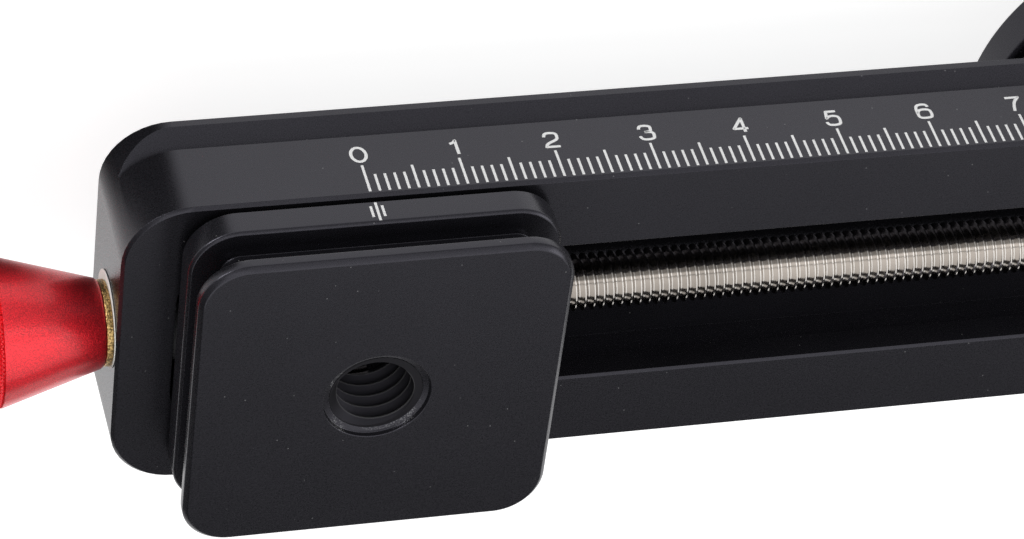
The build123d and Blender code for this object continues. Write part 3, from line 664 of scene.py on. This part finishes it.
class FOCUSRAIL_OT_rail(bpy.types.Operator):
    """Makes the rail and the scale on its side"""

    bl_idname = "focus_rail.rail"
    bl_label = "Rail"

    def execute(self, context):
        softened("rail_body", "rail", "rail", "black_aluminium", 0.08 * MM)
        softened("end_block", "far_end_block", "rail", "black_aluminium", 0.1 * MM)
        self.lines()
        self.numbers()
        return {"FINISHED"}

    def lines(self):
        """A line for each millimetre, longer at each fifth and tenth."""
        marks = settings("markings")
        shape = bmesh.new()
        top = RAIL_HIGH.z - marks.scale_edge
        side = (RAIL_LOW.y - marks.mark_thickness, RAIL_LOW.y)
        for value in range(marks.scale_length + 1):
            length = marks.short_mark
            if value % 5 == 0:
                length = marks.middle_mark
            if value % 10 == 0:
                length = marks.long_mark
            x = SCALE_ZERO - value * MM
            half = marks.mark_width / 2
            add_bar(shape, (x - half, x + half), side, (top - length, top))
        make_piece(shape, "scale_lines", "rail", "white_plastic", material=finish_for("marking"))

    def numbers(self):
        """A number for each centimetre, upright when the carriage is underneath."""
        marks = settings("markings")
        shape = bmesh.new()
        bottom = RAIL_HIGH.z - marks.scale_edge - marks.long_mark - marks.number_gap
        turned = Matrix(((-1, 0, 0), (0, 0, -1), (0, -1, 0))).to_4x4()
        for value in range(marks.scale_length // 10 + 1):
            mesh = painted_number(str(value), marks)
            x = SCALE_ZERO - value * 10 * MM
            place = Matrix.Translation((x, RAIL_LOW.y, bottom))
            mesh.transform(place @ turned)
            shape.from_mesh(mesh)
            bpy.data.meshes.remove(mesh)
        bmesh.ops.recalc_face_normals(shape, faces=shape.faces)
        make_piece(shape, "scale_numbers", "rail", "white_plastic", material=finish_for("marking"))


class FOCUSRAIL_OT_lead_screw(bpy.types.Operator):
    """Makes the lead screw with its thread"""

    bl_idname = "focus_rail.lead_screw"
    bl_label = "Lead screw"

    def execute(self, context):
        threads = settings("threads")
        radius = (SCREW_HIGH.z - SCREW_LOW.z) / 2
        root = radius - threads.lead_depth
        journal = 2.5 * MM
        far_journal = 2.0 * MM
        channel_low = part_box("end_block")[1].x + 0.05 * MM
        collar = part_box("thrust_collar")[0].x
        shape = bmesh.new()
        core = root + 0.02 * MM
        turned_along_x(shape, [
            (SCREW_LOW.x, 0),
            (SCREW_LOW.x, far_journal),
            (channel_low, far_journal),
            (channel_low, core),
            (collar, core),
            (collar, journal),
            (SCREW_HIGH.x, journal),
            (SCREW_HIGH.x, 0),
        ], 40)
        close_up(shape)
        pitch = threads.lead_pitch
        section = [(channel_low + x * pitch, 0, SCREW_AXIS + r) for x, r in (
            (0.04, root), (0.44, radius), (0.56, radius), (0.96, root))]
        turns = math.floor((collar - channel_low) / pitch) - 1
        absorb(shape, helical_ridge(section, ALONG_RAIL, (0, 0, SCREW_AXIS), pitch, turns, 36))
        make_piece(shape, "threaded_spindle", "spindle", "steel", ("lead_screw",), smooth=25.0)
        return {"FINISHED"}


class FOCUSRAIL_OT_focus_knob(bpy.types.Operator):
    """Makes the conical knob with its knurled grip"""

    bl_idname = "focus_rail.focus_knob"
    bl_label = "Focus knob"

    def execute(self, context):
        threads = settings("threads")
        tip = KNOB_LOW.x
        end = KNOB_HIGH.x
        radius = (KNOB_HIGH.z - KNOB_LOW.z) / 2
        tip_radius = 4.55 * MM
        front_bore = 2.6 * MM
        rear_bore = 8.02 * MM
        screw_bore = 4.0 * MM
        recess = 1.55 * MM
        chamfer = 0.35 * MM
        edge = 0.1 * MM
        rim = 0.9 * MM
        cone_end = tip + 26.0 * MM
        slope = (radius - tip_radius) / (cone_end - tip)
        start = tip + threads.knurl_start
        start_radius = tip_radius + slope * threads.knurl_start
        depth = threads.knurl_depth
        shape = bmesh.new()
        turned_along_x(shape, [
            (tip, front_bore),
            (tip, tip_radius - chamfer),
            (tip + edge, tip_radius - edge),
            (tip + chamfer, tip_radius + slope * chamfer),
            (start - edge, start_radius - slope * edge),
            (start, start_radius - edge / 2),
            (start, start_radius - depth),
        ], threads.knurl_columns)
        turned_along_x(shape, [
            (end - rim, radius - depth),
            (end - rim, radius - edge),
            (end - rim + edge, radius),
            (end - rim * 0.6, radius),
            (end, radius - rim * 0.6),
            (end, rear_bore),
            (end - recess, rear_bore),
            (end - recess, screw_bore),
        ], threads.knurl_columns)
        absorb(shape, self.grip(threads, start, start_radius, cone_end, radius, end - rim))
        bmesh.ops.recalc_face_normals(shape, faces=shape.faces)
        make_piece(shape, "knurled_knob", "spindle", "red_aluminium", ("focus_knob",), smooth=28.0)
        softened("knob_cap", "knob_end_disc", "spindle", "red_aluminium", 0.1 * MM)
        return {"FINISHED"}

    def grip(self, threads, start, start_radius, cone_end, radius, end):
        """Rows of raised diamonds from the cone to the knob's rim, as a bmesh."""
        depth = threads.knurl_depth
        columns = threads.knurl_columns
        profile = [(start, start_radius - depth)]
        slope = (radius - start_radius) / (cone_end - start)
        while profile[-1][0] < end - 0.3 * MM:
            x, r = profile[-1]
            step = 2 * math.pi * (r + depth) / columns * DIAMOND_LENGTH
            x = min(x + step, end)
            r = min(start_radius + slope * (x - start), radius) - depth
            profile.append((x, r))
        profile[-1] = (end, radius - depth)
        shape = bmesh.new()
        turned_along_x(shape, profile, columns)
        bmesh.ops.recalc_face_normals(shape, faces=shape.faces)
        grid = list(shape.edges)
        bmesh.ops.poke(shape, faces=shape.faces)
        inner = [edge for edge in grid if len(edge.link_faces) == 2]
        bmesh.ops.dissolve_edges(shape, edges=inner, use_verts=False, use_face_split=False)
        whole = [face for face in shape.faces if len(face.verts) == 4]
        bmesh.ops.poke(shape, faces=whole, offset=depth)
        return shape


class FOCUSRAIL_OT_washers(bpy.types.Operator):
    """Makes the brass washer and the thin white washer behind it"""

    bl_idname = "focus_rail.washers"
    bl_label = "Washers"

    def execute(self, context):
        self.ring("brass_thrust_washer", "spindle", "brass_washer", "brass",
                  edge=0.1 * MM, bore=2.53 * MM)
        self.ring("white_thrust_washer", "rail", "white_washer", "white_plastic",
                  edge=0.02 * MM, bore=3.15 * MM)
        return {"FINISHED"}

    def ring(self, name, body, node, slot, edge, bore):
        """A flat ring with broken edges in the place of a washer."""
        low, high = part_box(node)
        radius = (high.z - low.z) / 2
        drop = SCREW_AXIS - (high.z + low.z) / 2
        shape = bmesh.new()
        turned_along_x(shape, [
            (low.x, bore),
            (low.x, radius - edge),
            (low.x + edge * 0.3, radius - edge * 0.3),
            (low.x + edge, radius),
            (high.x - edge, radius),
            (high.x - edge * 0.3, radius - edge * 0.3),
            (high.x, radius - edge),
            (high.x, bore),
            (low.x, bore),
        ], 96)
        close_up(shape)
        bmesh.ops.translate(shape, verts=shape.verts, vec=(0, 0, -drop))
        make_piece(shape, name, body, slot, (node,), smooth=50.0)


class FOCUSRAIL_OT_carriage(bpy.types.Operator):
    """Makes the carriage with its threaded hole and index"""

    bl_idname = "focus_rail.carriage"
    bl_label = "Carriage"

    def execute(self, context):
        softened("carriage_plate", "carriage", "carriage", "black_aluminium", 0.1 * MM,
                 shape=self.stepped_mouth(),
                 material=black_anodised("black_anodised_carriage", (CARRIAGE_MIDDLE, MOUTH_RADIUS)))
        softened("slide_block", "carriage_slide", "carriage", "black_aluminium", 0.1 * MM)
        self.thread()
        self.index()
        return {"FINISHED"}

    def stepped_mouth(self):
        """The carriage's mesh with a shallow step in place of the plain countersink."""
        shape = clean_copy("carriage_plate")
        middle = Vector((CARRIAGE_MIDDLE, 0, 0))

        def ring(height):
            """The open edges at a height."""
            return [edge for edge in shape.edges if edge.is_boundary
                    and all(abs(vert.co.z - height) < 1e-5 for vert in edge.verts)]

        def lowered(edges, depth, scale):
            """Draws open edges down and scales them about the hole's axis."""
            grown = bmesh.ops.extrude_edge_only(shape, edges=edges)["geom"]
            verts = [item for item in grown if isinstance(item, bmesh.types.BMVert)]
            place = Matrix.Translation(-middle)
            bmesh.ops.translate(shape, verts=verts, vec=(0, 0, -depth))
            bmesh.ops.scale(shape, verts=verts, vec=(scale, scale, 1), space=place)
            return [item for item in grown if isinstance(item, bmesh.types.BMEdge)
                    and item.is_boundary]

        cone = [face for face in shape.faces if 0.3 < face.normal.z < 0.9
                and (face.calc_center_median() - middle).xy.length < COUNTERSINK_RADIUS]
        low = min(vert.co.z for face in cone for vert in face.verts)
        bmesh.ops.delete(shape, geom=cone, context="FACES_ONLY")
        wall = lowered(ring(PLATE_HIGH.z), STEP_DEPTH, 1.0)
        ledge = lowered(wall, STEP_FALL, STEP_SCALE)
        bmesh.ops.bridge_loops(shape, edges=ledge + ring(low))
        bmesh.ops.recalc_face_normals(shape, faces=shape.faces)
        return shape

    def thread(self):
        """The thread of the hole, cut off level with the step at its mouth."""
        cut = PLATE_HIGH.z - STEP_DEPTH - STEP_FALL / 2
        shape = camera_thread(PLATE_LOW.z, cut + 2 * settings("threads").camera_pitch, CARRIAGE_MIDDLE)
        everything = shape.verts[:] + shape.edges[:] + shape.faces[:]
        bmesh.ops.bisect_plane(shape, geom=everything, plane_co=(0, 0, cut), plane_no=(0, 0, 1),
                               clear_outer=True)
        ends = [edge for edge in shape.edges if edge.is_boundary]
        bmesh.ops.holes_fill(shape, edges=ends, sides=0)
        bmesh.ops.triangulate(shape, faces=[face for face in shape.faces if len(face.verts) > 4])
        crest = THREAD_RADIUS - settings("threads").camera_depth
        make_piece(shape, "camera_thread", "carriage", "black_aluminium", smooth=30.0,
                   material=black_thread("black_camera_thread", CARRIAGE_MIDDLE, crest))

    def index(self):
        """A long line beside the scale's zero with a shorter one on each side."""
        marks = settings("markings")
        shape = bmesh.new()
        side = (RAIL_LOW.y - marks.mark_thickness, RAIL_LOW.y)
        bottom = PLATE_LOW.z
        half = marks.mark_width / 2
        for offset, low, high in ((0, 0.15, 2.8), (-1, 0.65, 2.25), (1, 0.65, 2.25)):
            x = CARRIAGE_MIDDLE + offset * marks.index_spread
            add_bar(shape, (x - half, x + half), side, (bottom + low * MM, bottom + high * MM))
        make_piece(shape, "index_lines", "carriage", "white_plastic", material=finish_for("marking"))


def camera_thread(low, high, middle):
    """The ridge of a camera thread inside a hole along Z."""
    threads = settings("threads")
    crest = THREAD_RADIUS - threads.camera_depth
    root = THREAD_RADIUS + 0.03 * MM
    pitch = threads.camera_pitch
    section = [(middle + r, 0, low + z * pitch) for r, z in (
        (root, 0.02), (crest, 0.46), (crest, 0.54), (root, 0.98))]
    turns = math.floor((high - low) / pitch) - 1
    return helical_ridge(section, Vector((0, 0, 1)), (middle, 0, 0), pitch, turns, 64)


class FOCUSRAIL_OT_clamp(bpy.types.Operator):
    """Makes the clamp with its jaw and knobs"""

    bl_idname = "focus_rail.clamp"
    bl_label = "Clamp"

    def execute(self, context):
        softened("clamp_body", "clamp", "clamp", "black_aluminium", 0.2 * MM)
        softened("movable_jaw", "jaw", "jaw", "black_aluminium", 0.2 * MM)
        softened("clamp_knob", "clamp_grip", "jaw_knob", "black_aluminium", 0.15 * MM)
        softened("pan_lock_knob", "swivel_lock_grip", "pan_lock", "black_aluminium", 0.12 * MM)
        return {"FINISHED"}


class FOCUSRAIL_OT_base(bpy.types.Operator):
    """Makes the round base with its tripod thread"""

    bl_idname = "focus_rail.base"
    bl_label = "Base"

    def execute(self, context):
        softened("pan_base", "round_base", "base", "black_aluminium", 0.15 * MM)
        shape = camera_thread(BASE_LOW.z, BASE_LOW.z + TRIPOD_DEPTH, 0.0)
        make_piece(shape, "tripod_thread", "base", "black_aluminium", smooth=30.0)
        return {"FINISHED"}


class FOCUSRAIL_OT_hardware(bpy.types.Operator):
    """Gives every solid its finish"""

    bl_idname = "focus_rail.hardware"
    bl_label = "Hardware"

    def execute(self, context):
        for part in frame["record"]["subparts"]:
            node = frame["nodes"][part["node"]]
            set_material(node, finish_for(part["material_slot"]))
        return {"FINISHED"}


class FOCUSRAIL_PT_panel(bpy.types.Panel):
    """The steps of the focus rail"""

    bl_idname = "FOCUSRAIL_PT_panel"
    bl_label = "Focus rail"
    bl_space_type = "VIEW_3D"
    bl_region_type = "UI"
    bl_category = "Focus rail"

    def draw(self, context):
        for step in STEPS:
            self.layout.operator(step.bl_idname)


GROUPS = {
    "focus_rail_markings": FocusRailMarkings,
    "focus_rail_threads": FocusRailThreads,
    "focus_rail_finishes": FocusRailFinishes,
    "focus_rail_studio": FocusRailStudio,
}
STEPS = (
    FOCUSRAIL_OT_stage,
    FOCUSRAIL_OT_hardware,
    FOCUSRAIL_OT_rail,
    FOCUSRAIL_OT_lead_screw,
    FOCUSRAIL_OT_focus_knob,
    FOCUSRAIL_OT_washers,
    FOCUSRAIL_OT_carriage,
    FOCUSRAIL_OT_clamp,
    FOCUSRAIL_OT_base,
)


def register():
    """Registers the settings, the steps and the panel."""
    for name, group in GROUPS.items():
        bpy.utils.register_class(group)
        setattr(bpy.types.Scene, name, PointerProperty(type=group))
    for item in (*STEPS, FOCUSRAIL_PT_panel):
        bpy.utils.register_class(item)


def unregister():
    """Takes the panel, the steps and the settings away again."""
    for item in reversed((*STEPS, FOCUSRAIL_PT_panel)):
        bpy.utils.unregister_class(item)
    for name, group in GROUPS.items():
        delattr(bpy.types.Scene, name)
        bpy.utils.unregister_class(group)


def main():
    """Builds the whole scene."""
    register()
    bpy.context.scene.view_settings.view_transform = "Standard"
    bpy.ops.focus_rail.stage()
    bpy.ops.focus_rail.hardware()
    bpy.ops.focus_rail.rail()
    bpy.ops.focus_rail.lead_screw()
    bpy.ops.focus_rail.focus_knob()
    bpy.ops.focus_rail.washers()
    bpy.ops.focus_rail.carriage()
    bpy.ops.focus_rail.clamp()
    bpy.ops.focus_rail.base()


if __name__ == "__main__":
    main()
